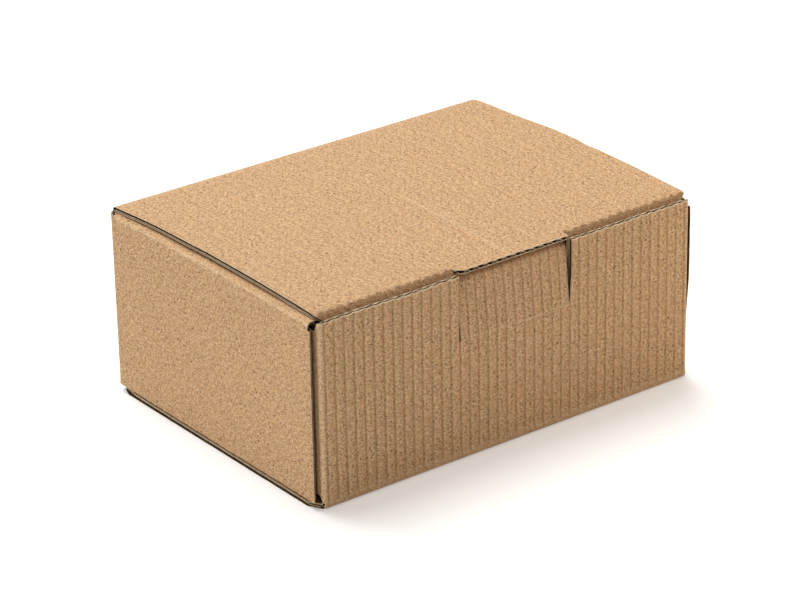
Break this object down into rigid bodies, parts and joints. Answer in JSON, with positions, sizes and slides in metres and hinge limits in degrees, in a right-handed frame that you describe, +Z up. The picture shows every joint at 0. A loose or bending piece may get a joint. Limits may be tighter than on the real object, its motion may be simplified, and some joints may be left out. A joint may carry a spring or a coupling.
{
  "type": "cardboard box",
  "caption": "Closed mailing box folded from one sheet of plain corrugated board, with a hinged lid and a lock tab in its front wall.",
  "frame": {"origin": "middle of the box's footprint, on the surface it stands on", "axes": "+X along the front wall to the right, +Y from the front wall to the back wall, +Z up"},
  "size_m": [0.2626, 0.196, 0.1156],
  "materials": {
    "box_board": "matte",
    "tab_board": "matte"
  },
  "bodies": {
    "box": {"folded_box": "box_board"},
    "tab": {"lock_tab": "tab_board"}
  },
  "joints": [
    {"name": "tab_crease", "type": "hinge", "parent": "box", "child": "tab", "pos_m": [0.0032, -0.098, 0.072], "axis": [1, 0, 0], "range_deg": [0, 90]}
  ]
}
